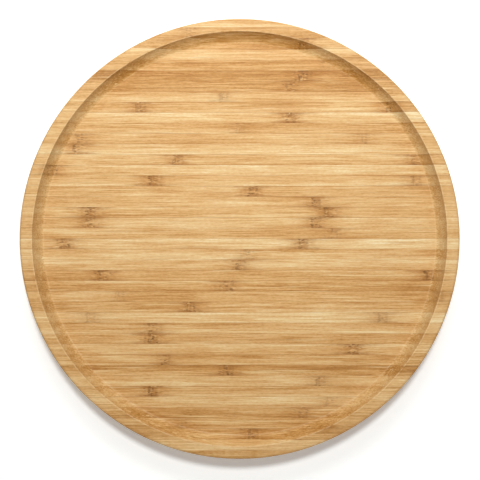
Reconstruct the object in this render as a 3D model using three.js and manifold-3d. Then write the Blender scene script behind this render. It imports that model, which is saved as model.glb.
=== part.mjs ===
// A lazy susan turntable: a recessed bamboo tray that turns on a stamped steel ball bearing
// above a small bamboo base with rubber feet. Millimetres, +Z up, X along the bamboo strips.
// The origin is on the table, on the turning axis.

import * as THREE from "three";
import { mergeVertices } from "three/addons/utils/BufferGeometryUtils.js";
import Module from "manifold-3d";

const wasm = await Module();
wasm.setup();

// Driving dimensions: the stack from the table up.
const TRAY_DIAMETER = 350;
const TRAY_THICKNESS = 18;
const BEARING_HEIGHT = 8;
const BASE_DIAMETER = 220;
const BASE_THICKNESS = 9;
const FOOT_DROP = 3;

// The tray's rim, wall and edges.
const RIM_WIDTH = 9.5;
const RECESS_DEPTH = 8;
const RIM_LIP_ROUND = 0.8;
const COVE_TOP_SLOPE = 62;
const COVE_FOOT_SLOPE = 34;
const COVE_FOOT_ROUND = 5.5;
const TRAY_EDGE_ROUND = 1.8;
const TRAY_UNDER_ROUND = 2.5;

// The bearing: two square plates of sheet steel with pressed races.
const PLATE_SIDE = 102;
const PLATE_CORNER = 8;
const SHEET = 1.2;
const HOLE_SPACING = 89;
const PLATE_HOLE_RADIUS = 2.2;
const BALL_RADIUS = 2.38;
const BALL_COUNT = 12;
const RACE_RADIUS = 27.5;
const RACE_PLAY = 0.2;
const PLATEAU_RISE = 1.2;
const PLATEAU_RADIUS = 34.5;
const FLANGE_RADIUS = 37;
const HUB_RADIUS = 17;
const LIP_RADIUS = 21.3;
const LIP_TOP = 7.7;
const CAPTIVE_RADIUS = 19;
const CAPTIVE_DROP = 0.6;
const CAPTIVE_WIDTH = 3.3;
const RING_EDGE = FLANGE_RADIUS + 3;
const RING_OVERLAP = 1;
const CAGE_THICKNESS = 1.6;
const CAGE_WIDTH = 8;
const POCKET_PLAY = 0.22;

// The base and its feet.
const BASE_ROUND = 2;
const FOOT_RADIUS = 9;
const FOOT_HEIGHT = 5;
const FOOT_CENTRE = 92;
const FOOT_PLAY = 0.3;
const FOOT_FLOOR = 1.8;
const FOOT_CHAMFER = 0.8;
const FOOT_TAPER = 1;
const WELL_PLAY = 0.4;
const ACCESS_RADIUS = 8;

// Wood screws, all of one size.
const SCREW = { shank: 1.7, length: 8, head: 3.6, headHeight: 2.2, tip: 2.4 };
const HEAD_CROWN = { radius: 0.55, shoulder: 0.92, height: 0.55 };
const CROSS = { width: 0.8, length: 4, depth: 1.3 };
const PILOT_PLAY = 0.3;

// How far a cutter runs past the face it opens.
const CLEAR = 1;

// Levels above the table.
const BASE_Z = FOOT_DROP;
const BEARING_Z = BASE_Z + BASE_THICKNESS;
const TRAY_Z = BEARING_Z + BEARING_HEIGHT;
const TOP_Z = TRAY_Z + TRAY_THICKNESS;
const BALL_Z = BEARING_Z + BEARING_HEIGHT / 2;
const HOLE_CIRCLE = HOLE_SPACING / Math.SQRT2;

const rad = THREE.MathUtils.degToRad;
const QUARTER = Math.PI / 2;

const finishes = {
  bamboo: { color: 0xdbaf75, roughness: 0.55, metalness: 0 },
  zinc: { color: 0xb9bcc0, roughness: 0.35, metalness: 1 },
  steel: { color: 0xd2d4d6, roughness: 0.15, metalness: 1 },
  nylon: { color: 0xe8e6df, roughness: 0.5, metalness: 0 },
  rubber: { color: 0x26262a, roughness: 0.85, metalness: 0 },
};

// Outlines and solids.

function outline(path, arcSteps) {
  const points = path.getPoints(arcSteps);
  return points.filter((p, i) => i === 0 || p.distanceTo(points[i - 1]) > 1e-4);
}

function turned(points, segments) {
  return new THREE.LatheGeometry(points, segments).rotateX(QUARTER);
}

function cylinder(radius, low, high, segments) {
  const shape = new THREE.CylinderGeometry(radius, radius, high - low, segments);
  return shape.rotateX(QUARTER).translate(0, 0, (low + high) / 2);
}

function toSolid(geometry) {
  const bare = geometry.clone();
  bare.deleteAttribute("normal");
  bare.deleteAttribute("uv");
  const merged = mergeVertices(bare, 1e-3);
  const vertProperties = merged.attributes.position.array;
  const triVerts = new Uint32Array(merged.index.array);
  return new wasm.Manifold(new wasm.Mesh({ numProp: 3, vertProperties, triVerts }));
}

function toGeometry(solid) {
  const { vertProperties, triVerts } = solid.getMesh();
  const geometry = new THREE.BufferGeometry();
  geometry.setAttribute("position", new THREE.BufferAttribute(vertProperties, 3));
  geometry.setIndex(new THREE.BufferAttribute(triVerts, 1));
  geometry.computeVertexNormals();
  return geometry;
}

function joined(...geometries) {
  const solids = geometries.map(toSolid);
  return toGeometry(solids.reduce((whole, next) => whole.add(next)));
}

function cut(body, cutters) {
  const solids = cutters.map(toSolid);
  return toGeometry(solids.reduce((left, cutter) => left.subtract(cutter), toSolid(body)));
}

function part(name, geometry, finish) {
  const mesh = new THREE.Mesh(geometry, new THREE.MeshStandardMaterial(finish));
  mesh.name = name;
  return mesh;
}

// Four places on a circle, the first at the given angle from +X in degrees.
function fourPlaces(radius, firstAngle) {
  return [0, 90, 180, 270].map((step) => {
    const angle = rad(firstAngle + step);
    return new THREE.Vector2(radius * Math.cos(angle), radius * Math.sin(angle));
  });
}

const trayScrewPlaces = fourPlaces(HOLE_CIRCLE, 45);
const baseScrewPlaces = fourPlaces(HOLE_CIRCLE, 0);
const footPlaces = fourPlaces(FOOT_CENTRE, 0);

// A blind hole for a screw's shank, from a face at one level, up or down.
function pilotHoles(places, face, direction) {
  const radius = SCREW.shank + PILOT_PLAY;
  const end = face + direction * (SCREW.length - SHEET + PILOT_PLAY);
  const start = face - direction * CLEAR;
  return places.map(({ x, y }) => {
    const hole = cylinder(radius, Math.min(start, end), Math.max(start, end), 12);
    return hole.translate(x, y, 0);
  });
}

// The tray: a turned disc with a rounded edge, a flat rim and a concave wall that steepens from
// the flat floor to the rim.
function trayProfile() {
  const radius = TRAY_DIAMETER / 2;
  const rimInner = radius - RIM_WIDTH;
  const cove = coveArcs(rimInner, TOP_Z - RECESS_DEPTH);
  const path = new THREE.Path();
  path.moveTo(0, TRAY_Z);
  path.lineTo(radius - TRAY_UNDER_ROUND, TRAY_Z);
  path.absarc(radius - TRAY_UNDER_ROUND, TRAY_Z + TRAY_UNDER_ROUND, TRAY_UNDER_ROUND, -QUARTER, 0);
  path.absarc(radius - TRAY_EDGE_ROUND, TOP_Z - TRAY_EDGE_ROUND, TRAY_EDGE_ROUND, 0, QUARTER);
  path.absarc(rimInner, TOP_Z - RIM_LIP_ROUND, RIM_LIP_ROUND, QUARTER, QUARTER + cove.lipTurn);
  path.absarc(cove.x, cove.z, cove.radius, cove.lipTurn - QUARTER, cove.footTurn - QUARTER, true);
  path.absarc(cove.footX, cove.footZ, COVE_FOOT_ROUND, cove.footTurn - QUARTER, -QUARTER, true);
  path.lineTo(0, TOP_Z - RECESS_DEPTH);
  return outline(path, 2);
}

// The wall's large arc and the smaller one at its foot, which meet without a corner.
function coveArcs(rimInner, floorZ) {
  const lipTurn = rad(COVE_TOP_SLOPE);
  const footTurn = rad(COVE_FOOT_SLOPE);
  const lipDrop = RIM_LIP_ROUND * (1 - Math.cos(lipTurn));
  const footRise = COVE_FOOT_ROUND * (1 - Math.cos(footTurn));
  const rise = RECESS_DEPTH - lipDrop - footRise;
  const radius = rise / (Math.cos(footTurn) - Math.cos(lipTurn));
  const x = rimInner - (RIM_LIP_ROUND + radius) * Math.sin(lipTurn);
  const z = floorZ + footRise + radius * Math.cos(footTurn);
  const footX = x + (radius - COVE_FOOT_ROUND) * Math.sin(footTurn);
  return { lipTurn, footTurn, radius, x, z, footX, footZ: floorZ + COVE_FOOT_ROUND };
}

function tray() {
  const disc = turned(trayProfile(), 80);
  return cut(disc, pilotHoles(trayScrewPlaces, TRAY_Z, 1));
}

// The base: a flat disc with a pocket for each foot, blind screw holes in both faces and one
// through hole, under a corner of the upper plate, for the screwdriver.
function base() {
  const radius = BASE_DIAMETER / 2;
  const path = new THREE.Path();
  path.moveTo(0, BASE_Z);
  path.lineTo(radius - BASE_ROUND, BASE_Z);
  path.absarc(radius - BASE_ROUND, BASE_Z + BASE_ROUND, BASE_ROUND, -QUARTER, 0);
  path.absarc(radius - BASE_ROUND, BEARING_Z - BASE_ROUND, BASE_ROUND, 0, QUARTER);
  path.lineTo(0, BEARING_Z);
  const disc = turned(outline(path, 2), 64);
  const pocketRadius = FOOT_RADIUS + FOOT_PLAY;
  const pockets = footPlaces.map(({ x, y }) =>
    cylinder(pocketRadius, BASE_Z - CLEAR, FOOT_HEIGHT, 24).translate(x, y, 0),
  );
  const [first] = trayScrewPlaces;
  const access = cylinder(ACCESS_RADIUS, BASE_Z - CLEAR, BEARING_Z + CLEAR, 24);
  return cut(disc, [
    ...pockets,
    ...pilotHoles(baseScrewPlaces, BEARING_Z, -1),
    ...pilotHoles(footPlaces, FOOT_HEIGHT, 1),
    access.translate(first.x, first.y, 0),
  ]);
}

// A plate's square flange, with rounded corners, four screw holes and room for the race.
function flange(low) {
  const half = PLATE_SIDE / 2;
  const inset = half - PLATE_CORNER;
  const square = new THREE.Shape();
  square.absarc(inset, inset, PLATE_CORNER, 0, QUARTER);
  square.absarc(-inset, inset, PLATE_CORNER, QUARTER, 2 * QUARTER);
  square.absarc(-inset, -inset, PLATE_CORNER, 2 * QUARTER, 3 * QUARTER);
  square.absarc(inset, -inset, PLATE_CORNER, 3 * QUARTER, 4 * QUARTER);
  square.holes.push(circle(0, 0, RING_EDGE - RING_OVERLAP));
  for (const { x, y } of trayScrewPlaces) square.holes.push(circle(x, y, PLATE_HOLE_RADIUS));
  const settings = { depth: SHEET, bevelEnabled: false, curveSegments: 6 };
  return new THREE.ExtrudeGeometry(square, settings).translate(0, 0, low);
}

function circle(x, y, radius) {
  return new THREE.Path().absarc(x, y, radius, 0, 2 * Math.PI, true);
}

// Where a groove of one radius, about the balls' centre, meets a flat face at a height.
function grooveAngle(radius, face) {
  return Math.asin((BALL_Z - face) / radius);
}

const GROOVE = BALL_RADIUS + RACE_PLAY;

// The lower plate's pressed ring: flange, slope, plateau with the race, and a hub whose top is
// curled outward over the upper plate's inner edge.
function lowerRing() {
  const under = BEARING_Z;
  const top = under + SHEET;
  const plateauUnder = under + PLATEAU_RISE;
  const plateauTop = top + PLATEAU_RISE;
  const inner = grooveAngle(GROOVE, plateauTop);
  const outer = grooveAngle(GROOVE + SHEET, plateauUnder);
  const lipTop = BEARING_Z + LIP_TOP;
  const bend = SHEET / 2;
  const wall = HUB_RADIUS + SHEET;
  const path = new THREE.Path();
  path.moveTo(RING_EDGE, under);
  path.lineTo(RING_EDGE, top);
  path.lineTo(FLANGE_RADIUS, top);
  path.lineTo(PLATEAU_RADIUS, plateauTop);
  path.absarc(RACE_RADIUS, BALL_Z, GROOVE, -inner, inner - Math.PI, true);
  path.lineTo(wall + bend, plateauTop);
  path.lineTo(wall, plateauTop + bend);
  path.lineTo(wall, lipTop - SHEET - bend);
  path.lineTo(wall + bend, lipTop - SHEET);
  path.lineTo(LIP_RADIUS, lipTop - SHEET);
  path.lineTo(LIP_RADIUS, lipTop);
  path.lineTo(wall, lipTop);
  path.lineTo(HUB_RADIUS, lipTop - SHEET);
  path.lineTo(HUB_RADIUS, plateauUnder + SHEET);
  path.lineTo(wall, plateauUnder);
  path.absarc(RACE_RADIUS, BALL_Z, GROOVE + SHEET, outer - Math.PI, -outer);
  path.lineTo(PLATEAU_RADIUS + bend, plateauUnder);
  path.lineTo(FLANGE_RADIUS + bend, under);
  path.closePath();
  return turned(outline(path, 2), 36);
}

// The upper plate's pressed ring: flange, slope, plateau with the race, and an inner edge that
// drops under the hub's lip.
function upperRing() {
  const top = TRAY_Z;
  const under = top - SHEET;
  const plateauTop = top - PLATEAU_RISE;
  const plateauUnder = under - PLATEAU_RISE;
  const inner = grooveAngle(GROOVE, plateauUnder);
  const outer = grooveAngle(GROOVE + SHEET, plateauTop);
  const edgeTop = plateauTop - CAPTIVE_DROP;
  const edgeUnder = plateauUnder - CAPTIVE_DROP;
  const bend = SHEET / 2;
  const dropEnd = CAPTIVE_RADIUS + CAPTIVE_WIDTH;
  const dropStart = dropEnd + CAPTIVE_DROP;
  const path = new THREE.Path();
  path.moveTo(RING_EDGE, under);
  path.lineTo(RING_EDGE, top);
  path.lineTo(FLANGE_RADIUS + bend, top);
  path.lineTo(PLATEAU_RADIUS + bend, plateauTop);
  path.absarc(RACE_RADIUS, BALL_Z, GROOVE + SHEET, -outer, outer + Math.PI);
  path.lineTo(dropStart, plateauTop);
  path.lineTo(dropEnd, edgeTop);
  path.lineTo(CAPTIVE_RADIUS, edgeTop);
  path.lineTo(CAPTIVE_RADIUS, edgeUnder);
  path.lineTo(dropEnd, edgeUnder);
  path.lineTo(dropStart, plateauUnder);
  path.absarc(RACE_RADIUS, BALL_Z, GROOVE, inner + Math.PI, -inner, true);
  path.lineTo(PLATEAU_RADIUS, plateauUnder);
  path.lineTo(FLANGE_RADIUS, under);
  path.closePath();
  return turned(outline(path, 2), 36);
}

// A flat ring with one pocket for each ball.
function cage() {
  const outer = RACE_RADIUS + CAGE_WIDTH / 2;
  const inner = RACE_RADIUS - CAGE_WIDTH / 2;
  const ring = new THREE.Shape().absarc(0, 0, outer, 0, 2 * Math.PI);
  ring.holes.push(circle(0, 0, inner));
  for (let i = 0; i < BALL_COUNT; i++) {
    const { x, y } = ballPlace(i);
    ring.holes.push(circle(x, y, BALL_RADIUS + POCKET_PLAY));
  }
  const settings = { depth: CAGE_THICKNESS, bevelEnabled: false, curveSegments: 12 };
  return new THREE.ExtrudeGeometry(ring, settings).translate(0, 0, BALL_Z - CAGE_THICKNESS / 2);
}

function ballPlace(index) {
  const angle = ((index + 0.5) * 2 * Math.PI) / BALL_COUNT;
  return new THREE.Vector3(RACE_RADIUS * Math.cos(angle), RACE_RADIUS * Math.sin(angle), BALL_Z);
}

// A round-headed wood screw that points up, with the underside of its head at z = 0.
function screw() {
  const { shank, length, head, headHeight, tip } = SCREW;
  const path = new THREE.Path();
  path.moveTo(0, -headHeight);
  path.lineTo(head * HEAD_CROWN.radius, -headHeight);
  path.lineTo(head * HEAD_CROWN.shoulder, -headHeight * HEAD_CROWN.height);
  path.lineTo(head, 0);
  path.lineTo(shank, 0);
  path.lineTo(shank, length - tip);
  path.lineTo(0, length);
  const body = turned(outline(path, 1), 12);
  const floor = CROSS.depth - headHeight;
  const arms = [
    [CROSS.length, CROSS.width],
    [CROSS.width, CROSS.length],
  ].map(([x, y]) => {
    const arm = new THREE.BoxGeometry(x, y, CROSS.depth + CLEAR);
    return arm.translate(0, 0, floor - (CROSS.depth + CLEAR) / 2);
  });
  return cut(body, arms);
}

// A rubber foot: a tapered pad whose hollow underside takes the screw's head.
function foot() {
  const seat = FOOT_HEIGHT - FOOT_FLOOR;
  const bore = SCREW.shank + PILOT_PLAY;
  const well = SCREW.head + WELL_PLAY;
  const sole = FOOT_RADIUS - FOOT_TAPER;
  const path = new THREE.Path();
  path.moveTo(well, 0);
  path.lineTo(sole - FOOT_CHAMFER, 0);
  path.lineTo(sole, FOOT_CHAMFER);
  path.lineTo(FOOT_RADIUS, FOOT_DROP);
  path.lineTo(FOOT_RADIUS, FOOT_HEIGHT);
  path.lineTo(bore, FOOT_HEIGHT);
  path.lineTo(bore, seat);
  path.lineTo(well, seat);
  path.closePath();
  return turned(outline(path, 1), 16);
}

// The assembly.

const turntable = new THREE.Group();
turntable.add(part("tray", tray(), finishes.bamboo));
const upperPlate = joined(flange(TRAY_Z - SHEET), upperRing());
turntable.add(part("bearing_upper_plate", upperPlate, finishes.zinc));

turntable.add(part("base_disc", base(), finishes.bamboo));
const lowerPlate = joined(flange(BEARING_Z), lowerRing()).rotateZ(rad(45));
turntable.add(part("bearing_lower_plate", lowerPlate, finishes.zinc));

turntable.add(part("ball_cage", cage(), finishes.nylon));
for (let i = 0; i < BALL_COUNT; i++) {
  const sphere = new THREE.IcosahedronGeometry(BALL_RADIUS, 2);
  const ball = part(`bearing_ball_${i + 1}`, sphere, finishes.steel);
  ball.position.copy(ballPlace(i));
  turntable.add(ball);
}

function addScrews(name, places, level, turn) {
  places.forEach(({ x, y }, i) => {
    const one = part(`${name}_${i + 1}`, screw(), finishes.zinc);
    one.position.set(x, y, level);
    one.rotation.x = turn;
    turntable.add(one);
  });
}

addScrews("upper_plate_screw", trayScrewPlaces, TRAY_Z - SHEET, 0);
addScrews("lower_plate_screw", baseScrewPlaces, BEARING_Z + SHEET, Math.PI);
addScrews("foot_screw", footPlaces, FOOT_HEIGHT - FOOT_FLOOR, 0);

footPlaces.forEach(({ x, y }, i) => {
  const one = part(`foot_${i + 1}`, foot(), finishes.rubber);
  one.position.set(x, y, 0);
  turntable.add(one);
});

export default turntable;
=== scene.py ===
"""Looks of a lazy susan turntable: a recessed bamboo tray that turns on a stamped steel ball
bearing above a small bamboo base with rubber feet. Shapes are made in millimetres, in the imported
model's frame, and scaled to metres as each piece is finished. The bamboo's strips run along X."""

import math
import random

import bmesh
import bpy
from mathutils import Matrix, Vector


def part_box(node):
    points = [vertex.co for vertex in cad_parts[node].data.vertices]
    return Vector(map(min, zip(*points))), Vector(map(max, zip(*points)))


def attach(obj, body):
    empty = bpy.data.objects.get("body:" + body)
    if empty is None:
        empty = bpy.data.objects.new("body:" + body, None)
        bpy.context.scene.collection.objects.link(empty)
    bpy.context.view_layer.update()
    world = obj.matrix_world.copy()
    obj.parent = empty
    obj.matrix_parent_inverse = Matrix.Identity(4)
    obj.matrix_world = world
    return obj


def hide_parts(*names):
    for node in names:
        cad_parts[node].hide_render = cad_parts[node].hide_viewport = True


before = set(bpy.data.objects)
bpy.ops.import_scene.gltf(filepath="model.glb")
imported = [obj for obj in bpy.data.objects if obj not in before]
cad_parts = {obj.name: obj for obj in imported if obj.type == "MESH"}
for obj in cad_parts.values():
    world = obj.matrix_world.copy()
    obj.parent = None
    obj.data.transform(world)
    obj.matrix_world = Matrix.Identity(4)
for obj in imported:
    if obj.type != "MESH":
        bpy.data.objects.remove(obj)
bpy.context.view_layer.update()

MM = 0.001
TAU = 2 * math.pi


def corners(node):
    """Lowest and highest corner of a CAD node, in millimetres."""
    low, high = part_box(node)
    return low / MM, high / MM


def middle(node):
    low, high = corners(node)
    return (low + high) / 2


def numbered(stem, count):
    return [f"{stem}_{i + 1}" for i in range(count)]


TRAY_LOW, TRAY_HIGH = corners("tray")
BASE_LOW, BASE_HIGH = corners("base_disc")
CAGE_LOW, CAGE_HIGH = corners("ball_cage")
TRAY_RADIUS = TRAY_HIGH.x
BASE_RADIUS = BASE_HIGH.x
BALL_Z = (CAGE_LOW.z + CAGE_HIGH.z) / 2

# The tray's rim, wall and edges.
RIM_WIDTH = 9.5
RECESS_DEPTH = 8
LIP_ROUND = 0.8
LIP_SLOPE = math.radians(62)
FOOT_SLOPE = math.radians(34)
FOOT_ROUND = 5.5
EDGE_ROUND = 1.8
UNDER_ROUND = 2.5
RIM_INNER = TRAY_RADIUS - RIM_WIDTH
BASE_ROUND = 2
ACCESS_EDGE = 0.6

# The bearing's pressed plates.
SHEET = 1.2
SHEET_EDGE = 0.3
BEND_OUTER = 1.6
BEND_INNER = 1.0
PLATE_HALF = 51
PLATE_CORNER = 8
PLATE_HOLE = 2.2
LOWER_PLATE_TURN = 45
RACE_RADIUS = 27.5
GROOVE = 2.58
GROOVE_LIP = 0.25
PLATEAU_RISE = 1.2
PLATEAU_RADIUS = 34.5
FLANGE_RADIUS = 37
RING_RADIUS = 40
HUB_RADIUS = 17
HUB_BEND = 1.5
HUB_FOOT = 0.5
HUB_NECK = 0.4
LIP_RADIUS = 21.3
LIP_TOP = 7.7
LIP_EDGE = 0.5
CAPTIVE_RADIUS = 19
CAPTIVE_WIDTH = 3.3
CAPTIVE_DROP = 0.6
CAPTIVE_BEND = 0.3
CAPTIVE_EDGE = 0.4
CAGE_INNER = 23.5
CAGE_OUTER = 31.5
CAGE_POCKET = 2.6
CAGE_EDGE = 0.35

# Holes in the bamboo, the screws and the feet.
PILOT_RADIUS = 2
PILOT_DEPTH = 7.1
POCKET_RADIUS = 9.3
POCKET_EDGE = 0.4
ACCESS_RADIUS = 8
HEAD_RADIUS = 3.6
HEAD_HEIGHT = 2.2
HEAD_BRIM = 0.35
HEAD_MIDDLE = 0.3
HEAD_NECK = 0.2
DOME_POWER = 0.8
SHANK_ROOT = 1.25
THREAD_CREST = 1.7
THREAD_PITCH = 1.3
SCREW_LENGTH = 8
SCREW_TIP = 2.4
TIP_BLUNT = 0.04
FOOT_SEAT = 3.2
FOOT_WELL = 4
SOLE_RADIUS = 8
SOLE_CHAMFER = 0.8
SOLE_EDGE = 0.4
FOOT_EDGE = 0.3
FOOT_HOLE_EDGE = 0.2
FLANGE_EDGE = 0.8
FOOT_DROP = 3
FLANGE_WIDER = 1
SEAM_RISE = 1.5
GROOVE_RADII = (5.2, 6.3)
GROOVE_ROUND = 0.08
UPPER_SCREWS = numbered("upper_plate_screw", 4)
LOWER_SCREWS = numbered("lower_plate_screw", 4)
FOOT_SCREWS = numbered("foot_screw", 4)
FEET = numbered("foot", 4)
BALLS = numbered("bearing_ball", 12)

# The cross in a screw's head as (height, reach, half width), and a foot's groove as
# (across, depth) from its inner edge.
CROSS = ((-1, 2.4, 0.52), (0, 2.1, 0.46), (1.3, 0.75, 0.28))
GROOVE_SHAPE = ((0, 0), (0.12, 0.25), (0.38, 0.25), (0.5, 0))

# How finely curved shapes are divided, and the tolerances of the mesh helpers.
WIDE_RING = 288
MIDDLE_RING = 144
FOOT_RING = 64
SMALL_RING = 48
POCKET_RING = 40
FILLET_STEPS = 5
COVE_STEPS = 14
COVE_END_STEPS = 8
RACE_STEPS = 14
CORNER_STEPS = 10
DOME_STEPS = 11
THREAD_STEPS = 72
HOLD = 0.25
INWARD = 9
SAME_POINT = 1e-4
ON_AXIS = 1e-6
ON_CUT = 1e-5


# Outlines, as lists of (radius, z).


def rounded(points):
    """An open outline through (r, z, fillet radius) corners, with an arc at each filleted one
    and a point held close to each arc's ends, so that flat faces stay flat where they shade."""
    places = [Vector(point[:2]) for point in points]
    out = [places[0]]
    for i in range(1, len(points) - 1):
        out += fillet(places[i - 1], places[i], places[i + 1], points[i][2])
    out.append(places[-1])
    return [p for i, p in enumerate(out) if i == 0 or (p - out[i - 1]).length > SAME_POINT]


def fillet(before, here, after, radius):
    """The points that round off the corner at here, or the corner itself where radius is 0."""
    if radius == 0:
        return [here]
    back = (before - here).normalized()
    ahead = (after - here).normalized()
    half = back.angle(ahead) / 2
    reach = radius / math.tan(half)
    centre = here + (back + ahead).normalized() * radius / math.sin(half)
    spoke = here + back * reach - centre
    turn = math.copysign(math.pi - 2 * half, ahead.cross(back))
    bend = []
    for step in range(FILLET_STEPS + 1):
        point = spoke.copy()
        point.rotate(Matrix.Rotation(turn * step / FILLET_STEPS, 2))
        bend.append(centre + point)
    hold = min(HOLD, radius / 2)
    if (before - here).length > 2 * (reach + hold):
        bend.insert(0, here + back * (reach + hold))
    if (after - here).length > 2 * (reach + hold):
        bend.append(here + ahead * (reach + hold))
    return bend


def arc(centre, radius, start, end, steps):
    angles = [start + (end - start) * i / steps for i in range(steps + 1)]
    return [centre + radius * Vector((math.cos(a), math.sin(a))) for a in angles]


def sharp(points):
    return [(p[0], p[1], 0) for p in points]


def edge_steps(low, high, radius):
    """The rounded edge of a sheet between two levels, as (inset, z) from its top to its under
    face. The outline's two ends only give the faces a direction, and are dropped."""
    points = [(INWARD, high, 0), (0, high, radius), (0, low, radius), (INWARD, low, 0)]
    return rounded(points)[1:-1]


# Mesh pieces.


def ring(mesh, radius, z, segments, centre=(0, 0)):
    made = []
    for i in range(segments):
        angle = TAU * i / segments
        x = centre[0] + radius * math.cos(angle)
        y = centre[1] + radius * math.sin(angle)
        made.append(mesh.verts.new((x, y, z)))
    return made


def bridge(mesh, first, second):
    count = len(first)
    for i in range(count):
        j = (i + 1) % count
        mesh.faces.new((first[i], first[j], second[j], second[i]))


def turned(mesh, outline, segments, centre=(0, 0)):
    """Turns an outline about a vertical line. An end on the line closes with one flat face."""
    rings = []
    for r, z in outline:
        if r > ON_AXIS:
            rings.append(ring(mesh, r, z, segments, centre))
    for first, second in zip(rings, rings[1:]):
        bridge(mesh, first, second)
    if outline[0][0] <= ON_AXIS:
        mesh.faces.new(rings[0])
    if outline[-1][0] <= ON_AXIS:
        mesh.faces.new(rings[-1])
    return rings


def stacked(mesh, outline_at, steps):
    """A wall whose outline at each level is given by how far it is drawn into the material."""
    loops = []
    for inset, z in steps:
        loops.append([mesh.verts.new((x, y, z)) for x, y in outline_at(inset)])
    for first, second in zip(loops, loops[1:]):
        bridge(mesh, first, second)
    return loops[0], loops[-1]


def circle_at(centre, radius, segments, grows=1):
    """Outlines of a circle for stacked(): grows is 1 round a hole and -1 round a disc."""

    def outline_at(inset):
        reach = radius + grows * inset
        angles = [TAU * i / segments for i in range(segments)]
        return [(centre[0] + reach * math.cos(a), centre[1] + reach * math.sin(a)) for a in angles]

    return outline_at


def cap(mesh, loops):
    """Fills the flat space between closed loops of vertices."""
    edges = []
    for loop in loops:
        for i, vertex in enumerate(loop):
            pair = (vertex, loop[(i + 1) % len(loop)])
            edges.append(mesh.edges.get(pair) or mesh.edges.new(pair))
    bmesh.ops.triangle_fill(mesh, use_beauty=True, edges=edges)


def slice_at(mesh, faces, point, normal):
    """Cuts faces where a plane passes through them."""
    faces = list(faces)
    edges = list({edge for face in faces for edge in face.edges})
    verts = list({vert for face in faces for vert in face.verts})
    bmesh.ops.bisect_plane(
        mesh, geom=verts + edges + faces, plane_co=point, plane_no=normal, dist=ON_CUT
    )


def as_object(name, mesh):
    """Makes a mesh into an object of the scene, and frees it."""
    data = bpy.data.meshes.new(name)
    mesh.to_mesh(data)
    mesh.free()
    made = bpy.data.objects.new(name, data)
    bpy.context.scene.collection.objects.link(made)
    return made


def carved(blank, cutter):
    """The blank's mesh with the cutter's shape taken out of it; both helpers are removed."""
    cut = blank.modifiers.new("cut", "BOOLEAN")
    cut.operation = "DIFFERENCE"
    cut.object = cutter
    bpy.context.view_layer.update()
    seen = blank.evaluated_get(bpy.context.evaluated_depsgraph_get())
    data = bpy.data.meshes.new_from_object(seen)
    for helper in (blank, cutter):
        bpy.data.objects.remove(helper)
    return data


def finished(name, mesh, material, sharp_from=40):
    """Makes a mesh in millimetres into an object in metres, smooth but for its sharp edges."""
    bmesh.ops.recalc_face_normals(mesh, faces=mesh.faces)
    bmesh.ops.scale(mesh, vec=(MM, MM, MM), verts=mesh.verts)
    for face in mesh.faces:
        face.smooth = True
    made = as_object(name, mesh)
    made.data.set_sharp_from_angle(angle=math.radians(sharp_from))
    made.data.materials.append(material)
    return made


def place(made, node, body):
    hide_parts(node)
    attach(made, body)


# Material nodes.


def srgb(red, green, blue):
    """A screen colour, 0 to 255 each, as the linear colour that a shader takes."""
    parts = []
    for value in (red, green, blue):
        value /= 255
        parts.append(value / 12.92 if value <= 0.04045 else ((value + 0.055) / 1.055) ** 2.4)
    return (*parts, 1.0)


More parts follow.
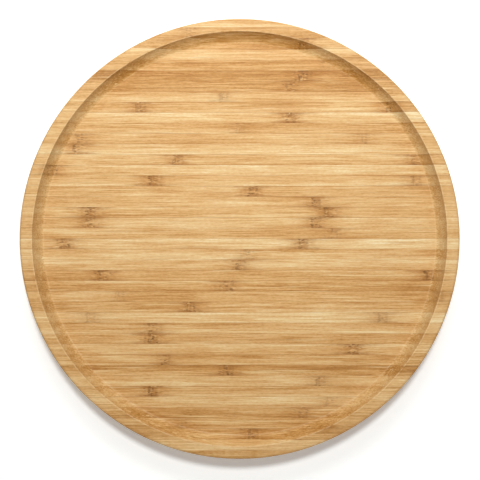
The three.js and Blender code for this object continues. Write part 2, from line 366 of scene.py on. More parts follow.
class Finish:
    """A material and short calls that add nodes to it. Each call returns the node's output."""

    def __init__(self, name, **surface):
        self.material = bpy.data.materials.new(name)
        self.material.use_nodes = True
        self.tree = self.material.node_tree
        self.shader = self.tree.nodes["Principled BSDF"]
        for socket, value in surface.items():
            self.shader.inputs[socket.replace("_", " ")].default_value = value

    def node(self, kind, inputs=(), **settings):
        made = self.tree.nodes.new("ShaderNode" + kind)
        for key, value in settings.items():
            setattr(made, key, value)
        for key, value in dict(inputs).items():
            self.put(value, made.inputs[key])
        return made

    def put(self, value, socket):
        if isinstance(value, bpy.types.NodeSocket):
            self.tree.links.new(value, socket)
        else:
            socket.default_value = value

    def math(self, operation, *values):
        return self.node("Math", dict(enumerate(values)), operation=operation).outputs[0]

    def add(self, *values):
        total = values[0]
        for value in values[1:]:
            total = self.math("ADD", total, value)
        return total

    def times(self, *values):
        total = values[0]
        for value in values[1:]:
            total = self.math("MULTIPLY", total, value)
        return total

    def less(self, first, second):
        return self.math("SUBTRACT", first, second)

    def step(self, value, low, high):
        """0 at low, rising smoothly to 1 at high; low may be the larger."""
        flip = low > high
        ends = {"From Min": min(low, high), "From Max": max(low, high)}
        outs = {"To Min": 1.0 if flip else 0.0, "To Max": 0.0 if flip else 1.0}
        made = self.node(
            "MapRange", {"Value": value, **ends, **outs}, interpolation_type="SMOOTHSTEP"
        )
        return made.outputs["Result"]

    def bell(self, value, width):
        """1 where value is 0, falling off smoothly over about the width."""
        ratio = self.math("DIVIDE", value, width)
        return self.math("EXPONENT", self.times(ratio, ratio, -1.0))

    def place(self, scale=(1, 1, 1), offset=None):
        """Object coordinates in millimetres, multiplied by a scale and moved by an offset."""
        here = self.node("TexCoord").outputs["Object"]
        scaled = self.vector("MULTIPLY", here, tuple(s / MM for s in scale))
        return scaled if offset is None else self.vector("ADD", scaled, offset)

    def vector(self, operation, first, second):
        return self.node("VectorMath", {0: first, 1: second}, operation=operation).outputs[0]

    def combine(self, x, y, z):
        return self.node("CombineXYZ", {"X": x, "Y": y, "Z": z}).outputs[0]

    def noise(self, vector, detail=3.0, rough=0.55):
        inputs = {"Vector": vector, "Scale": 1.0, "Detail": detail, "Roughness": rough}
        return self.node("TexNoise", inputs).outputs[0]

    def cells(self, vector, output="Distance"):
        return self.node("TexVoronoi", {"Vector": vector, "Scale": 1.0}).outputs[output]

    def blend(self, factor, first, second):
        made = self.node("Mix", data_type="RGBA")
        self.put(factor, made.inputs[0])
        self.put(first, made.inputs[6])
        self.put(second, made.inputs[7])
        return made.outputs[2]

    def ramp(self, factor, stops):
        """Colours along a factor. The stops are the lowest and the highest, then those between."""
        made = self.node("ValToRGB", {"Fac": factor})
        band = made.color_ramp.elements
        for i, (at, colour) in enumerate(stops):
            spot = band[i] if i < 2 else band.new(at)
            spot.position = at
            spot.color = colour
        return made.outputs[0]

    def bump(self, height, strength, distance):
        made = self.node("Bump", {"Height": height, "Strength": strength, "Distance": distance})
        self.put(made.outputs[0], self.shader.inputs["Normal"])

    def set(self, **sockets):
        for socket, value in sockets.items():
            self.put(value, self.shader.inputs[socket.replace("_", " ")])
        return self.material


# Bamboo boards, glued up from narrow strips. Strip 0 lies just behind the middle.

STRIP_PITCH = 8.4
STRIP_HALF = STRIP_PITCH / 2
KNOT_GAP = 240
GAP_RANGE = (0.8, 1.2)

# Tones in hundredths of the ramp: how strips differ, the most that one changes from side to
# side and at a knot, and how far those that stand out are moved. Then the knots' strengths.
TONE_SPREAD = 7
MOST_SLANT = 24
MOST_CHANGE = 9
STANDS_OUT = 12
FAINT = (0.3, 0.6)
PLAIN = (0.7, 0.95)
STRONG = (1.0, 1.2)

# Seeds of the draws for the boards, for the screws' turns and for the fibres, which move by up
# to FIBRE_RANGE from strip to strip, so that neighbours differ.
TRAY_SEED, BASE_SEED, SCREW_SEED = 7, 11, 5
TRAY_FIBRES, BASE_FIBRES = 100, 700
FIBRE_RANGE = 400

# The strips of the tray that stand out, and its clear knots as (strip, place along it).
PALE_STRIPS = (13, 8, 7, 5, -3, -9, -14)
DARK_STRIPS = (15, 14, -4, -5, -10, -13, -17)
STRONG_KNOTS = [
    (18, 50), (15, 50), (11, 40), (5, -70), (2, -120), (2, 70), (-1, 50), (-4, -110), (-4, 150),
    (-7, -40), (-10, -70), (-11, 90), (-13, -10), (-15, -70), (-19, 10),
]
PLAIN_KNOTS = [
    (14, 40), (12, -80), (12, 120), (8, -130), (7, -50), (7, 140), (6, -150), (5, 140), (4, 10),
    (3, 60), (1, -120), (1, 60), (-1, -140), (-3, 0), (-5, -10), (-9, -70), (-12, -60), (-17, 50),
]


def strip_edge(index):
    """The y of the front edge of a strip, before any shift."""
    return index * STRIP_PITCH


def draw_knot(rng, x, strengths):
    """A knot as (place, strength, change of tone)."""
    return x, rng.uniform(*strengths), rng.uniform(-MOST_CHANGE, MOST_CHANGE)


def draw_strips(rng, radius):
    """Each strip's (tone, slant) and its knots, faint ones a good way apart."""
    tones, knots = {}, {}
    half = math.ceil(radius / STRIP_PITCH)
    for index in range(-half, half):
        tones[index] = (rng.gauss(0, TONE_SPREAD), rng.uniform(-MOST_SLANT, MOST_SLANT))
        first = rng.uniform(-KNOT_GAP / 2, KNOT_GAP / 2)
        second = first - math.copysign(rng.uniform(*GAP_RANGE) * KNOT_GAP, first)
        knots[index] = [draw_knot(rng, x, FAINT) for x in (first, second)]
    return tones, knots


def tray_strips(rng):
    """The tray's strips, with its clear knots in place of the faint ones of their strips."""
    tones, knots = draw_strips(rng, TRAY_RADIUS)
    for strips, shift in ((PALE_STRIPS, STANDS_OUT), (DARK_STRIPS, -STANDS_OUT)):
        for index in strips:
            tone, slant = tones[index]
            tones[index] = (tone + shift, slant)
    clear = {}
    for places, strengths in ((STRONG_KNOTS, STRONG), (PLAIN_KNOTS, PLAIN)):
        for index, x in places:
            clear.setdefault(index, []).append(draw_knot(rng, x, strengths))
    knots.update(clear)
    return tones, knots


def strip_faces(mesh, low, high):
    return [face for face in mesh.faces if low < face.calc_center_bounds().y < high]


def cut_strips(mesh, tones, knots, seed, shift=0):
    """Divides a board at its strips' edges and halfway between knots, and gives each face what
    its strip's finish needs: tone, slant, seed, knot place, strip middle, strength, change."""
    for index in tones:
        slice_at(mesh, mesh.faces, (0, strip_edge(index) + shift, 0), (0, 1, 0))
    tone_layer = mesh.loops.layers.float_vector.new("strip")
    knot_layer = mesh.loops.layers.float_vector.new("knot")
    step_layer = mesh.loops.layers.float_vector.new("change")
    for index, (tone, slant) in tones.items():
        low, high = strip_edge(index) + shift, strip_edge(index + 1) + shift
        sorted_knots = sorted(knots[index])
        for (left, _, _), (right, _, _) in zip(sorted_knots, sorted_knots[1:]):
            halfway = ((left + right) / 2, 0, 0)
            slice_at(mesh, strip_faces(mesh, low, high), halfway, (1, 0, 0))
        rng = random.Random(seed + index)
        offset = rng.uniform(0, FIBRE_RANGE)
        for face in strip_faces(mesh, low, high):
            x = face.calc_center_bounds().x
            at, strength, change = min(sorted_knots, key=lambda knot: abs(knot[0] - x))
            passed = sum(knot[2] for knot in sorted_knots if knot[0] < at)
            for loop in face.loops:
                loop[tone_layer] = (tone + passed, slant, offset)
                loop[knot_layer] = (at, (low + high) / 2, strength)
                loop[step_layer] = (change, 0, 0)


BAMBOO_RAMP = [
    (0.0, srgb(166, 110, 44)),
    (1.0, srgb(245, 227, 181)),
    (0.22, srgb(195, 141, 74)),
    (0.5, srgb(220, 173, 111)),
    (0.78, srgb(234, 202, 147)),
]


def bamboo(name, edge_radius, shaded_radius, highlight_rings):
    """Side-pressed bamboo under a matt oil. Everything is solid through the board, so the end
    grain shows as dots where the wall and the edge cut across the strips."""
    look = Finish(name, IOR=1.45, Specular_IOR_Level=0.25)
    strip = look.node("Attribute", attribute_name="strip").outputs["Vector"]
    knot = look.node("Attribute", attribute_name="knot").outputs["Vector"]
    change = look.node("Attribute", attribute_name="change").outputs["Vector"]
    tone, slant, seed = look.node("SeparateXYZ", {0: strip}).outputs
    knot_x, strip_y, strength = look.node("SeparateXYZ", {0: knot}).outputs
    change = look.node("SeparateXYZ", {0: change}).outputs[0]
    x, y, z = look.node("SeparateXYZ", {0: look.place()}).outputs
    facing = look.node("SeparateXYZ", {0: look.node("TexCoord").outputs["Normal"]}).outputs
    faces_ends, faces_sides = (look.math("ABSOLUTE", facing[axis]) for axis in (0, 1))

    def grain(along_scale, across_scale, across, deep, **settings):
        """Noise drawn out along the strip."""
        spots = (look.times(x, along_scale), look.times(across, across_scale))
        return look.noise(look.combine(*spots, look.times(deep, across_scale)), **settings)

    # Distances from the knot, along and across the strip, with a wandering edge. Where the
    # board is cut along a strip, its flank shows no strip's edge.
    along = look.less(x, knot_x)
    across = look.less(y, strip_y)
    side = look.math("DIVIDE", across, STRIP_HALF)
    edge = look.times(look.math("ABSOLUTE", side), look.step(faces_sides, 0.98, 0.8))
    own_y = look.add(y, seed)
    own_z = look.add(z, look.times(seed, 0.37))
    wander = look.less(grain(0.15, 0.5, own_y, own_z, detail=3.0), 0.5)
    near = look.times(look.bell(along, 14.0), strength)

    # Fibres run nearly straight, and part and curl around a knot.
    drift = look.less(grain(0.004, 0.05, own_y, own_z, detail=1.0), 0.5)
    curl = look.less(grain(0.09, 0.24, own_y, own_z, detail=1.0), 0.5)
    lane = look.add(own_y, look.times(drift, 4.0), look.times(curl, near, 5.0))

    band = grain(0.008, 0.26, lane, own_z, detail=2.0)
    fibre = grain(0.018, 0.9, lane, own_z, detail=5.0, rough=0.8)
    thread = grain(0.04, 1.5, lane, own_z, detail=2.5)
    line = grain(0.012, 1.2, lane, own_z, detail=1.5)
    streak = grain(0.011, 0.55, lane, own_z, detail=1.0)
    cloud = grain(0.02, 0.06, own_y, own_z, detail=2.0)
    bundle = look.cells(look.combine(look.times(x, 0.03), look.times(lane, 1.6), look.times(own_z, 1.6)))
    vein = look.step(bundle, 0.34, 0.12)
    dash = look.step(grain(0.2, 2.2, lane, own_z, detail=1.5), 0.56, 0.68)
    speck = grain(0.35, 1.3, lane, own_z, detail=2.0)

    # A soft ring is painted darker, as painted shade: at the foot of the recess's wall, and round the
    # base's edge under the tray.
    reach_out = look.math("SQRT", look.add(look.times(x, x), look.times(y, y)))
    dust_and_shade = look.bell(look.less(reach_out, shaded_radius), 9.0)

    # How pale the wood is, from 0 to 1.
    turn = look.step(look.add(along, look.times(wander, 16.0)), -5.0, 5.0)
    pale = look.add(
        0.5,
        look.times(tone, 0.01),
        look.times(slant, side, -0.005),
        look.times(change, turn, 0.01),
        look.times(look.less(band, 0.5), 0.55),
        look.times(look.less(fibre, 0.5), 0.95),
        look.times(look.less(thread, 0.5), 0.75),
        look.times(look.step(line, 0.58, 0.66), -0.1),
        look.times(look.step(line, 0.42, 0.34), 0.1),
        look.times(look.less(cloud, 0.5), 0.4),
        look.times(vein, -0.07),
        look.times(dash, -0.12),
        look.times(look.less(speck, 0.5), 0.4),
        look.times(dust_and_shade, -0.06),
    )
    wood = look.ramp(pale, BAMBOO_RAMP)

    # Long thin streaks, brown ones and cream ones.
    brown_streak = look.times(look.step(streak, 0.38, 0.28), look.step(thread, 0.35, 0.6))
    wood = look.blend(look.times(brown_streak, 0.4), wood, srgb(178, 118, 54))
    cream_streak = look.times(look.step(streak, 0.62, 0.72), look.step(thread, 0.35, 0.6))
    wood = look.blend(look.times(cream_streak, 0.45), wood, srgb(243, 219, 164))

    # Thin glue lines, stronger in some stretches than in others.
    patchy = look.noise(look.combine(look.times(x, 0.02), look.times(strip_y, 1.7), seed), detail=2.0)
    glue = look.times(look.step(edge, 0.91, 0.985), look.step(patchy, 0.38, 0.62))
    wood = look.blend(look.times(glue, 0.6), wood, srgb(164, 104, 44))

    # A knot: a soft brown patch, darker lines along the strip's edges, and two broken ridges
    # across the strip with flat flecks between them, some pale and some dark.
    loose = look.add(along, look.times(wander, 13.0))
    blot = grain(0.14, 0.5, own_y, own_z, detail=4.0, rough=0.65)
    halo = look.times(look.bell(look.add(along, look.times(wander, 40.0)), 17.0), strength)
    wood = look.blend(look.times(halo, 0.24), wood, srgb(208, 149, 78))
    patch = look.times(look.bell(loose, 9.0), strength, look.step(blot, 0.25, 0.62))
    wood = look.blend(look.times(patch, 0.8), wood, srgb(180, 120, 52))
    rail = look.times(
        look.bell(look.add(along, look.times(wander, 26.0)), 15.0), strength, look.step(edge, 0.35, 0.95)
    )
    wood = look.blend(look.times(rail, 0.65), wood, srgb(152, 98, 36))
    fleck_place = look.combine(look.times(x, 0.3), look.times(lane, 1.2), look.times(own_z, 1.2))
    fleck = look.step(look.cells(fleck_place), 0.52, 0.24)
    kind = look.node("SeparateXYZ", {0: look.cells(fleck_place, output="Color")}).outputs[0]
    zone = look.times(look.bell(loose, 6.5), strength)
    dark_fleck = look.times(fleck, zone, look.step(kind, 0.46, 0.38))
    wood = look.blend(look.times(dark_fleck, 0.85), wood, srgb(108, 69, 22))
    pale_fleck = look.times(fleck, zone, look.step(kind, 0.6, 0.68))
    wood = look.blend(look.times(pale_fleck, 0.5), wood, srgb(240, 200, 134))
    reach = look.times(look.less(grain(0.5, 0.16, own_y, own_z, detail=1.0), 0.5), 7.0)
    ridge = look.math(
        "MAXIMUM",
        look.bell(look.add(along, reach, 1.5), 1.3),
        look.times(look.bell(look.add(along, reach, -3.0), 1.8), 0.45),
    )
    ridge = look.times(ridge, strength, look.step(blot, 0.4, 0.6))
    wood = look.blend(look.times(ridge, 0.65), wood, srgb(113, 72, 24))

    # End grain drinks more oil, and is darker the more it faces along the strips.
    ends = look.step(faces_ends, 0.12, 0.95)
    wood = look.blend(look.times(ends, 0.4), wood, srgb(168, 128, 80))

    # Thin pale rings are painted light: painted highlights along the turned edges, and a painted paler
    # band over the rim's top.
    ring_breakup = look.step(look.noise(look.place((0.3, 0.3, 0.3)), detail=2.0), 0.3, 0.6)
    for radius, level, width, amount in highlight_rings:
        ring_near = look.bell(look.less(reach_out, radius), width)
        painted_ring = look.times(ring_near, look.bell(look.less(z, level), 2.0), ring_breakup)
        wood = look.blend(look.times(painted_ring, amount), wood, srgb(250, 222, 172))
    # The outer edge is painted darker, as painted shade on its roundover; its roughness is lower there,
    # as it is smoother from handling.
    edge_shade_and_polish = look.times(
        look.step(reach_out, edge_radius - 2.6, edge_radius - 0.6),
        look.step(look.noise(look.place((0.05, 0.05, 0.2))), 0.25, 0.6),
    )
    wood = look.blend(look.times(edge_shade_and_polish, 0.15), wood, srgb(184, 140, 86))

    rough = look.add(0.46, look.times(fibre, 0.12), look.times(vein, 0.08), look.times(edge_shade_and_polish, -0.08))
    relief = look.add(look.times(fibre, 0.7), look.times(vein, -0.5), look.times(glue, -0.6))
    look.bump(relief, 0.3, 0.0001)
    return look.set(Base_Color=wood, Roughness=rough)


def cove():
    """The recess's wall, from the edge of the floor to the inner edge of the rim."""
    top = TRAY_HIGH.z
    floor = top - RECESS_DEPTH
    quarter = math.pi / 2
    lip_drop = LIP_ROUND * (1 - math.cos(LIP_SLOPE))
    foot_rise = FOOT_ROUND * (1 - math.cos(FOOT_SLOPE))
    rise = RECESS_DEPTH - lip_drop - foot_rise
    radius = rise / (math.cos(FOOT_SLOPE) - math.cos(LIP_SLOPE))
    wall_x = RIM_INNER - (LIP_ROUND + radius) * math.sin(LIP_SLOPE)
    wall_centre = Vector((wall_x, floor + foot_rise + radius * math.cos(FOOT_SLOPE)))
    foot_x = wall_x + (radius - FOOT_ROUND) * math.sin(FOOT_SLOPE)
    foot_centre = Vector((foot_x, floor + FOOT_ROUND))
    lip_centre = Vector((RIM_INNER, top - LIP_ROUND))
    foot = arc(foot_centre, FOOT_ROUND, -quarter, FOOT_SLOPE - quarter, COVE_END_STEPS)
    wall = arc(wall_centre, radius, FOOT_SLOPE - quarter, LIP_SLOPE - quarter, COVE_STEPS)
    lip = arc(lip_centre, LIP_ROUND, quarter + LIP_SLOPE, quarter, COVE_END_STEPS)
    return foot + wall[1:] + lip[1:]


def tray_outline():
    """From the middle of the floor out over the wall and rim and in to the underside."""
    wall = cove()
    floor_edge = wall[0]
    inside = [Vector((0, floor_edge.y)), floor_edge - Vector((HOLD, 0)), *wall]
    outside = rounded([
        (RIM_INNER + HOLD, TRAY_HIGH.z, 0),
        (TRAY_RADIUS, TRAY_HIGH.z, EDGE_ROUND),
        (TRAY_RADIUS, TRAY_LOW.z, UNDER_ROUND),
        (TRAY_RADIUS - 3 * UNDER_ROUND, TRAY_LOW.z, 0),
    ])
    return inside + outside


def pilot(mesh, centre, face, direction):
    """A blind screw hole from a flat face; returns its mouth."""
    end = face + direction * PILOT_DEPTH
    tip = end - direction * PILOT_RADIUS / 3
    outline = [(PILOT_RADIUS, face), (PILOT_RADIUS, tip), (PILOT_RADIUS / 3, end), (0, end)]
    return turned(mesh, outline, SMALL_RING, centre)[0]


def make_tray(material, rng):
    mesh = bmesh.new()
    rings = turned(mesh, tray_outline(), WIDE_RING)
    mouths = [pilot(mesh, middle(screw), TRAY_LOW.z, 1) for screw in UPPER_SCREWS]
    cap(mesh, [rings[-1], *mouths])
    tones, knots = tray_strips(rng)
    cut_strips(mesh, tones, knots, TRAY_FIBRES)
    place(finished("tray_board", mesh, material), "tray", "turntable")


def make_base(material, rng):
    mesh = bmesh.new()
    low, high = BASE_LOW.z, BASE_HIGH.z
    disc = stacked(
        mesh,
        circle_at((0, 0), BASE_RADIUS, MIDDLE_RING, -1),
        edge_steps(low, high, BASE_ROUND),
    )
    access = stacked(
        mesh,
        circle_at(middle(UPPER_SCREWS[0]), ACCESS_RADIUS, SMALL_RING),
        edge_steps(low, high, ACCESS_EDGE),
    )
    top_loops = [disc[0], access[0]]
    bottom_loops = [disc[1], access[1]]
    top_loops += [pilot(mesh, middle(screw), high, -1) for screw in LOWER_SCREWS]
    for foot in FEET:
        centre = middle(foot)
        ceiling = corners(foot)[1].z
        pocket = [
            (POCKET_RADIUS + POCKET_EDGE, low),
            (POCKET_RADIUS, low + POCKET_EDGE),
            (POCKET_RADIUS, ceiling),
        ]
        rings = turned(mesh, pocket, SMALL_RING, centre)
        cap(mesh, [rings[-1], pilot(mesh, centre, ceiling, 1)])
        bottom_loops.append(rings[0])
    cap(mesh, top_loops)
    cap(mesh, bottom_loops)
    # Moved by half a strip, so that the outermost strips aren't slivers.
    tones, knots = draw_strips(rng, BASE_RADIUS)
    cut_strips(mesh, tones, knots, BASE_FIBRES, shift=STRIP_HALF)
    place(finished("base_board", mesh, material), "base_disc", "base")


FLOOR_RADIUS = cove()[0].x

# Rings painted paler, as (radius, height, width, amount): painted highlights on the edges and painted
# light over the rim's top.
lip_highlight = (RIM_INNER - 0.2, TRAY_HIGH.z, 0.45, 0.35)
foot_highlight = (FLOOR_RADIUS + 1, TRAY_HIGH.z - RECESS_DEPTH, 0.5, 0.18)
rim_painted_light = (TRAY_RADIUS - RIM_WIDTH / 2, TRAY_HIGH.z, 4, 0.08)
base_edge_highlight = (BASE_RADIUS - BASE_ROUND, BASE_HIGH.z, 0.5, 0.3)
tray_bamboo = bamboo("tray_bamboo", TRAY_RADIUS, FLOOR_RADIUS, [lip_highlight, foot_highlight, rim_painted_light])
base_bamboo = bamboo("base_bamboo", BASE_RADIUS, BASE_RADIUS, [base_edge_highlight])
make_tray(tray_bamboo, random.Random(TRAY_SEED))
make_base(base_bamboo, random.Random(BASE_SEED))


# The bearing: two pressed plates, a cage and balls.


def zinc(name, tint):
    """Bright zinc plating: faint coloured clouds, a soft grain, hairline scratches, dull spots."""
    look = Finish(name, Metallic=1.0)
    cloud = look.noise(look.place((0.06, 0.06, 0.06)), detail=4.0)
    plating = look.ramp(cloud, [(0.3, (0.56, 0.58, 0.61, 1)), (0.7, tint), (0.5, (0.66, 0.67, 0.68, 1))])
    hairs = []
    for stretch, moved in (((0.05, 2.4, 2.4), (0, 0, 0)), ((2.2, 0.06, 2.2), (30, 7, 0))):
        hairs.append(look.step(look.noise(look.place(stretch, moved), detail=3.0), 0.66, 0.72))
    scratch = look.math("MAXIMUM", *hairs)
    plating = look.blend(look.times(scratch, 0.35), plating, (0.83, 0.84, 0.85, 1))
    spot = look.step(look.noise(look.place((0.7, 0.7, 0.7)), detail=2.0), 0.62, 0.75)
    plating = look.blend(look.times(spot, 0.4), plating, (0.42, 0.43, 0.43, 1))
    grain = look.noise(look.place((2.5, 2.5, 2.5)), detail=2.0)
    rough = look.add(0.24, look.times(cloud, 0.16), look.times(grain, 0.08), look.times(spot, 0.25))
    look.bump(look.add(look.times(grain, 0.5), look.times(scratch, -0.8)), 0.2, 0.00004)
    return look.set(Base_Color=plating, Roughness=rough)


def race(radius, face):
    """A groove about the balls' centre, from its outer to its inner edge on a level face."""
    lift = math.asin((face - BALL_Z) / radius)
    far = math.copysign(math.pi, lift) - lift
    points = sharp(arc(Vector((RACE_RADIUS, BALL_Z)), radius, lift, far, RACE_STEPS))
    for end in (0, -1):
        points[end] = (*points[end][:2], GROOVE_LIP)
    return points


def upper_ring():
    """The upper plate's pressed middle, from its flat sheet's top inwards and back below."""
    top = TRAY_LOW.z
    under = top - SHEET
    level = top - PLATEAU_RISE
    level_under = level - SHEET
    drop_end = CAPTIVE_RADIUS + CAPTIVE_WIDTH
    edge = level - CAPTIVE_DROP
    return rounded([
        (RING_RADIUS, top, 0),
        (FLANGE_RADIUS + SHEET / 2, top, BEND_OUTER),
        (PLATEAU_RADIUS + SHEET / 2, level, BEND_INNER),
        *race(GROOVE + SHEET, level),
        (drop_end + CAPTIVE_DROP, level, CAPTIVE_BEND),
        (drop_end, edge, CAPTIVE_BEND),
        (CAPTIVE_RADIUS, edge, CAPTIVE_EDGE),
        (CAPTIVE_RADIUS, edge - SHEET, CAPTIVE_EDGE),
        (drop_end, edge - SHEET, CAPTIVE_BEND),
        (drop_end + CAPTIVE_DROP, level_under, CAPTIVE_BEND),
        *reversed(race(GROOVE, level_under)),
        (PLATEAU_RADIUS, level_under, BEND_OUTER),
        (FLANGE_RADIUS, under, BEND_INNER),
        (RING_RADIUS, under, 0),
    ])


def lower_ring():
    """The lower plate's pressed middle, up and over the hub's curled lip and back below."""
    under = BASE_HIGH.z
    top = under + SHEET
    level = top + PLATEAU_RISE
    level_under = under + PLATEAU_RISE
    lip_top = under + LIP_TOP
    outside = HUB_RADIUS + SHEET
    return rounded([
        (RING_RADIUS, top, 0),
        (FLANGE_RADIUS, top, BEND_INNER),
        (PLATEAU_RADIUS, level, BEND_OUTER),
        *race(GROOVE, level),
        (outside, level, HUB_FOOT),
        (outside, lip_top - SHEET, HUB_NECK),
        (LIP_RADIUS, lip_top - SHEET, LIP_EDGE),
        (LIP_RADIUS, lip_top, LIP_EDGE),
        (HUB_RADIUS, lip_top, HUB_BEND),
        (HUB_RADIUS, level_under, HUB_BEND),
        *reversed(race(GROOVE + SHEET, level_under)),
        (PLATEAU_RADIUS + SHEET / 2, level_under, BEND_INNER),
        (FLANGE_RADIUS + SHEET / 2, under, BEND_OUTER),
        (RING_RADIUS, under, 0),
    ])


def square_at(turn):
    """Outlines of the plate's rounded square for stacked(), turned by an angle in degrees."""

    def outline_at(inset):
        corner = PLATE_CORNER - inset
        reach = PLATE_HALF - PLATE_CORNER
        points = []
        for quarter in range(4):
            lean = math.radians(90 * quarter)
            centre = Matrix.Rotation(lean, 2) @ Vector((reach, reach))
            points += arc(centre, corner, lean, lean + math.pi / 2, CORNER_STEPS)
        spin = Matrix.Rotation(math.radians(turn), 2)
        return [spin @ point for point in points]

    return outline_at


def make_plate(name, outline, low, turn, screws, material, body):
    mesh = bmesh.new()
    rings = turned(mesh, outline, MIDDLE_RING)
    steps = edge_steps(low, low + SHEET, SHEET_EDGE)
    border = stacked(mesh, square_at(turn), steps)
    holes = [
        stacked(mesh, circle_at(middle(screw), PLATE_HOLE, SMALL_RING), steps) for screw in screws
    ]
    cap(mesh, [rings[0], border[0], *(hole[0] for hole in holes)])
    cap(mesh, [rings[-1], border[1], *(hole[1] for hole in holes)])
    place(finished(f"{name}_sheet", mesh, material), name, body)


def make_cage():
    look = Finish("cage_nylon", IOR=1.53, Specular_IOR_Level=0.4)
    cloud = look.noise(look.place((0.12, 0.12, 0.12)), detail=3.0)
    tint = look.ramp(cloud, [(0.3, srgb(226, 221, 206)), (0.7, srgb(238, 235, 225))])
    pebble = look.noise(look.place((3, 3, 3)), detail=2.0)
    look.bump(pebble, 0.25, 0.00005)
    rough = look.add(0.4, look.times(cloud, 0.1), look.times(pebble, 0.1))
    material = look.set(Base_Color=tint, Roughness=rough)
    mesh = bmesh.new()
    steps = edge_steps(CAGE_LOW.z, CAGE_HIGH.z, CAGE_EDGE)
    outlines = [
        circle_at((0, 0), CAGE_OUTER, MIDDLE_RING, -1),
        circle_at((0, 0), CAGE_INNER, MIDDLE_RING),
    ]
    outlines += [circle_at(middle(ball), CAGE_POCKET, POCKET_RING) for ball in BALLS]
    walls = [stacked(mesh, outline_at, steps) for outline_at in outlines]
    cap(mesh, [wall[0] for wall in walls])
    cap(mesh, [wall[1] for wall in walls])
    place(finished("cage_ring", mesh, material), "ball_cage", "cage")


def make_balls():
    look = Finish("ball_steel_polished", Metallic=1.0)
    smear = look.noise(look.place((0.9, 0.9, 0.9)), detail=4.0)
    tint = look.ramp(smear, [(0.3, (0.70, 0.71, 0.72, 1)), (0.7, (0.80, 0.80, 0.81, 1))])
    hair = look.step(look.noise(look.place((0.5, 7, 7)), detail=2.0), 0.66, 0.72)
    rough = look.add(0.05, look.times(smear, 0.1), look.times(hair, 0.12))
    look.bump(hair, 0.05, 0.00001)
    material = look.set(Base_Color=tint, Roughness=rough)
    for node in BALLS:
        low, high = corners(node)
        mesh = bmesh.new()
        bmesh.ops.create_icosphere(mesh, subdivisions=4, radius=(high.z - low.z) / 2)
        bmesh.ops.translate(mesh, vec=(low + high) / 2, verts=mesh.verts)
        place(finished(f"{node}_steel", mesh, material, sharp_from=80), node, "cage")


# Screws and feet.


def thread_reach(turns, z):
    """The shank's radius at a height above the head's seat and an angle in whole turns."""
    phase = (z / THREAD_PITCH - turns) % 1
    ridge = max(0.0, 1 - 4 * abs(phase - 0.5)) if z > THREAD_PITCH / 2 else 0.0
    reach = SHANK_ROOT + (THREAD_CREST - SHANK_ROOT) * ridge
    left = (SCREW_LENGTH - z) / SCREW_TIP
    return reach * min(1.0, max(left, TIP_BLUNT))


def cross_cutter(face):
    """A cross that narrows as it goes up from the head's face."""
    mesh = bmesh.new()
    levels = []
    for height, long, wide in CROSS:
        arm = [(long, -wide), (long, wide), (wide, wide)]
        points = []
        for quarter in range(4):
            spin = Matrix.Rotation(math.radians(90 * quarter), 2)
            points += [spin @ Vector(point) for point in arm]
        levels.append([mesh.verts.new((x, y, face + height)) for x, y in points])
    for first, second in zip(levels, levels[1:]):
        bridge(mesh, first, second)
    mesh.faces.new(levels[0])
    mesh.faces.new(levels[-1])
    bmesh.ops.recalc_face_normals(mesh, faces=mesh.faces)
    return as_object("cross_cutter", mesh)


def screw_template():
    """A round-headed wood screw that points up, with its head's underside at z = 0."""
    mesh = bmesh.new()
    dome = [(HEAD_RADIUS, -HEAD_BRIM)]
    for i in range(1, DOME_STEPS + 1):
        angle = math.pi / 2 * i / DOME_STEPS
        rise = (HEAD_HEIGHT - HEAD_BRIM) * math.sin(angle) ** DOME_POWER
        dome.append((HEAD_RADIUS * math.cos(angle), -HEAD_BRIM - rise))
    head = [(0, dome[-1][1]), *[p for p in reversed(dome) if p[0] > HEAD_MIDDLE]]
    brim = [(HEAD_RADIUS, -HEAD_BRIM, 0), (HEAD_RADIUS, 0, HEAD_NECK), (SHANK_ROOT, 0, 0)]
    head += rounded(brim)[1:]
    rings = turned(mesh, head, SMALL_RING)
    last = rings[-1]
    for step in range(1, THREAD_STEPS + 1):
        z = SCREW_LENGTH * step / THREAD_STEPS
        loop = []
        for i in range(SMALL_RING):
            turns = i / SMALL_RING
            reach = thread_reach(turns, z)
            angle = TAU * turns
            loop.append(mesh.verts.new((reach * math.cos(angle), reach * math.sin(angle), z)))
        bridge(mesh, last, loop)
        last = loop
    mesh.faces.new(last)
    bmesh.ops.recalc_face_normals(mesh, faces=mesh.faces)
    return carved(as_object("screw_blank", mesh), cross_cutter(-HEAD_HEIGHT))


def make_screws(material, rng):
    template = screw_template()
    for names, body, flip in (
        (UPPER_SCREWS, "turntable", False),
        (LOWER_SCREWS, "base", True),
        (FOOT_SCREWS, "base", False),
    ):
        for node in names:
            low, high = corners(node)
            seat = high.z - HEAD_HEIGHT if flip else low.z + HEAD_HEIGHT
            centre = (low + high) / 2
            where = Matrix.Translation((centre.x, centre.y, seat))
            turn = Matrix.Rotation(math.pi if flip else 0, 4, "X")
            spin = Matrix.Rotation(rng.uniform(0, TAU), 4, "Z")
            mesh = bmesh.new()
            mesh.from_mesh(template)
            bmesh.ops.transform(mesh, matrix=where @ turn @ spin, verts=mesh.verts)
            made = finished(f"{node}_steel", mesh, material, sharp_from=30)
            place(made, node, body)


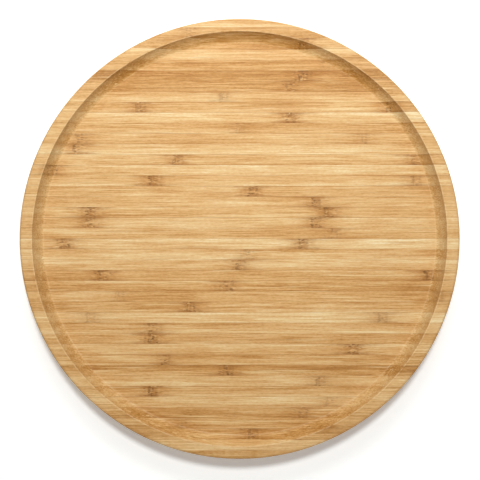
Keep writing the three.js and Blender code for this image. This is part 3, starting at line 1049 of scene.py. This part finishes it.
def foot_outline(low, high):
    """From part way up the well down to the sole, up the side, in to the screw's hole and down
    it, and back to where it starts."""
    grooves = []
    for radius in GROOVE_RADII:
        for across, depth in GROOVE_SHAPE:
            grooves.append((radius + across, low + depth, GROOVE_ROUND))
    seat = low + FOOT_SEAT
    side = SOLE_RADIUS + FLANGE_WIDER
    return rounded([
        (FOOT_WELL, low + SEAM_RISE, 0),
        (FOOT_WELL, low, FOOT_EDGE),
        *grooves,
        (SOLE_RADIUS - SOLE_CHAMFER, low, SOLE_EDGE),
        (SOLE_RADIUS, low + SOLE_CHAMFER, SOLE_EDGE),
        (side, low + FOOT_DROP, FLANGE_EDGE),
        (side, high, FOOT_EDGE),
        (PILOT_RADIUS, high, FOOT_HOLE_EDGE),
        (PILOT_RADIUS, seat, FOOT_HOLE_EDGE),
        (FOOT_WELL, seat, FOOT_EDGE),
        (FOOT_WELL, low + SEAM_RISE, 0),
    ])[:-1]


def make_feet():
    look = Finish("foot_rubber", IOR=1.5, Specular_IOR_Level=0.3)
    cloud = look.noise(look.place((0.25, 0.25, 0.25)), detail=4.0)
    tint = look.ramp(cloud, [(0.3, srgb(30, 30, 33)), (0.7, srgb(48, 47, 49))])
    height = look.node("SeparateXYZ", {0: look.place()}).outputs[2]
    # Real dust makes the sole paler.
    dust_and_shade = look.times(look.step(height, 0.35, 0.05), look.step(cloud, 0.35, 0.65))
    tint = look.blend(look.times(dust_and_shade, 0.5), tint, srgb(120, 114, 106))
    pebble = look.noise(look.place((2.2, 2.2, 2.2)), detail=3.0)
    look.bump(pebble, 0.4, 0.00008)
    rough = look.add(0.72, look.times(cloud, 0.15), look.times(dust_and_shade, 0.1))
    material = look.set(Base_Color=tint, Roughness=rough)
    for node in FEET:
        low, high = corners(node)
        mesh = bmesh.new()
        rings = turned(mesh, foot_outline(low.z, high.z), FOOT_RING, (low + high) / 2)
        bridge(mesh, rings[-1], rings[0])
        place(finished(f"{node}_rubber", mesh, material, sharp_from=50), node, "base")


plate_zinc = zinc("plate_zinc", (0.68, 0.67, 0.62, 1))
screw_zinc = zinc("screw_zinc", (0.72, 0.68, 0.55, 1))
make_plate(
    "bearing_upper_plate", upper_ring(), TRAY_LOW.z - SHEET, 0, UPPER_SCREWS, plate_zinc, "turntable"
)
make_plate(
    "bearing_lower_plate",
    lower_ring(),
    BASE_HIGH.z,
    LOWER_PLATE_TURN,
    LOWER_SCREWS,
    plate_zinc,
    "base",
)
make_cage()
make_balls()
make_screws(screw_zinc, random.Random(SCREW_SEED))
make_feet()


# Studio: a pale floor, soft lights and a camera above.

VIEW_WIDTH = 0.3817
LENS = 150
SENSOR = 36
CAMERA_ELEVATION = math.radians(89)
FLOOR_REACH = 12
BACKDROP_HEIGHT = 2.4
FLOOR_GAP = 0.00005
FLOOR_CELLS = 8
PAPER_GLOW = 0.27
SKY_COLOUR = (0.97, 0.985, 1.0, 1)
SKY_STRENGTH = 0.1
LAMP_COLOUR = (1, 0.997, 0.99)
KEY_FROM = (0.015, 0.3, 1.0)
KEY_SPREAD = math.radians(7.5)
KEY_STRENGTH = 1.74
WINDOW_PLACE = (0.0, 0.46, 0.8)
WINDOW_TARGET = (0, 0.25, 0.03)
WINDOW_SIZE = (0.5, 0.3)
WINDOW_SPREAD = math.radians(80)
WINDOW_WATTS = 1.04

# The camera looks at a point a little off the turning axis, level with the rim's edge.
SUBJECT = Vector((0.0003, -0.0012, (TRAY_HIGH.z - EDGE_ROUND) * MM))


def aimed(made, where, target):
    made.location = where
    made.rotation_euler = (Vector(target) - Vector(where)).to_track_quat("-Z", "Y").to_euler()
    bpy.context.scene.collection.objects.link(made)
    return made


def soft_light(name, where, target, size, spread, watts):
    lamp = bpy.data.lights.new(name, "AREA")
    lamp.shape = "RECTANGLE"
    lamp.size, lamp.size_y = size
    lamp.spread = spread
    lamp.energy = watts
    lamp.color = LAMP_COLOUR
    aimed(bpy.data.objects.new(name, lamp), where, target)


def far_light(name, direction, spread, strength):
    lamp = bpy.data.lights.new(name, "SUN")
    lamp.angle = spread
    lamp.energy = strength
    lamp.color = LAMP_COLOUR
    aimed(bpy.data.objects.new(name, lamp), direction, (0, 0, 0))


def make_camera():
    data = bpy.data.cameras.new("camera")
    data.lens = LENS
    data.sensor_width = SENSOR
    distance = VIEW_WIDTH * LENS / SENSOR
    away = Vector((0, -math.cos(CAMERA_ELEVATION), math.sin(CAMERA_ELEVATION)))
    camera = aimed(bpy.data.objects.new("camera", data), SUBJECT + away * distance, SUBJECT)
    bpy.context.scene.camera = camera


def make_floor():
    """A wide floor of pale paper that turns up far away, so that low views end on it too."""
    mesh = bmesh.new()
    bmesh.ops.create_grid(mesh, x_segments=FLOOR_CELLS, y_segments=FLOOR_CELLS, size=FLOOR_REACH)
    bmesh.ops.translate(mesh, vec=(0, 0, -FLOOR_GAP), verts=mesh.verts)
    border = [edge for edge in mesh.edges if edge.is_boundary]
    raised = bmesh.ops.extrude_edge_only(mesh, edges=border)["geom"]
    top = [item for item in raised if isinstance(item, bmesh.types.BMVert)]
    bmesh.ops.translate(mesh, vec=(0, 0, BACKDROP_HEIGHT), verts=top)
    bmesh.ops.recalc_face_normals(mesh, faces=mesh.faces)
    floor = as_object("floor", mesh)
    look = Finish("floor_paper", Roughness=0.9, Specular_IOR_Level=0.1)
    grain = look.noise(look.place((0.02, 0.02, 0.02)), detail=2.0)
    shade = look.blend(grain, (0.92, 0.948, 0.948, 1), (0.94, 0.968, 0.968, 1))
    paper = look.set(Base_Color=shade, Emission_Color=(1, 1, 1, 1), Emission_Strength=PAPER_GLOW)
    floor.data.materials.append(paper)


def make_world():
    world = bpy.data.worlds.new("studio")
    world.use_nodes = True
    sky = world.node_tree.nodes["Background"]
    sky.inputs["Color"].default_value = SKY_COLOUR
    sky.inputs["Strength"].default_value = SKY_STRENGTH
    bpy.context.scene.world = world


make_camera()
make_floor()
make_world()
far_light("key", KEY_FROM, KEY_SPREAD, KEY_STRENGTH)
soft_light("window", WINDOW_PLACE, WINDOW_TARGET, WINDOW_SIZE, WINDOW_SPREAD, WINDOW_WATTS)
bpy.context.scene.view_settings.view_transform = "Standard"
